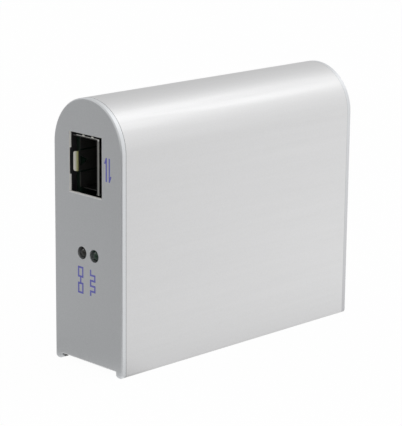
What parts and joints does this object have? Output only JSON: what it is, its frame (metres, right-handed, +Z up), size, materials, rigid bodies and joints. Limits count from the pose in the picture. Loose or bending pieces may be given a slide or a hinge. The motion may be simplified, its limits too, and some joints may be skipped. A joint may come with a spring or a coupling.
{
  "type": "fibre media converter",
  "caption": "Slim aluminium case with a half-round top that stands on edge, with a transceiver slot and lamps in front and network and DC inlets behind.",
  "frame": {"origin": "on the table under the middle of the case, centre of the two legs", "axes": "+Z up; -Y out of the front cap with the transceiver slot, +Y out of the rear cap; +X across the case, from the board's solder side to its component side"},
  "size_m": [0.0254, 0.085, 0.07],
  "materials": {
    "anodised_aluminium": "satin clear anodised",
    "painted_cap": "satin silver paint",
    "zinc_plated_steel": "zinc plated",
    "board_laminate": "green solder mask",
    "cage_steel": "bright nickel plated sheet",
    "tin_plate": "dull grey tin plate",
    "latch_sheet": "passivated sheet, worn bright at the lip",
    "spring_steel": "grey spring strip",
    "black_moulding": "black moulded",
    "gilt_contact": "gold plated",
    "smoky_lens": "smoky clear epoxy",
    "green_lens": "dark green clear epoxy",
    "tinned_lead": "tinned",
    "chip_resin": "black moulded resin",
    "ferrite": "dark sintered ferrite",
    "capacitor_can": "bright aluminium can",
    "chip_ceramic": "tan ceramic"
  },
  "bodies": {
    "root": {"housing": "anodised_aluminium", "front_cap": "painted_cap", "rear_cap": "painted_cap", "floor_screws": "zinc_plated_steel", "main_board": "board_laminate", "cage_shell": "tin_plate", "spring_collar": "spring_steel", "cage_floor": "latch_sheet", "slot_connector": "black_moulding", "slot_contacts": "gilt_contact", "link_led": "smoky_lens", "activity_led": "green_lens", "led_holder": "black_moulding", "led_leads": "tinned_lead", "network_jack_shield": "cage_steel", "network_jack_insert": "black_moulding", "network_jack_contacts": "gilt_contact", "power_jack_body": "black_moulding", "power_jack_pin": "tinned_lead", "power_jack_springs": "tinned_lead", "converter_chip": "chip_resin", "converter_chip_leads": "tinned_lead", "pulse_transformer": "chip_resin", "transformer_leads": "tinned_lead", "memory_chip": "chip_resin", "memory_chip_leads": "tinned_lead", "voltage_regulator": "chip_resin", "voltage_regulator_leads": "tinned_lead", "crystal": "cage_steel", "power_inductor": "ferrite", "smoothing_capacitors": "capacitor_can", "capacitor_bases": "black_moulding", "bypass_capacitors": "chip_ceramic", "chip_resistors": "chip_resin"}
  },
  "joints": []
}
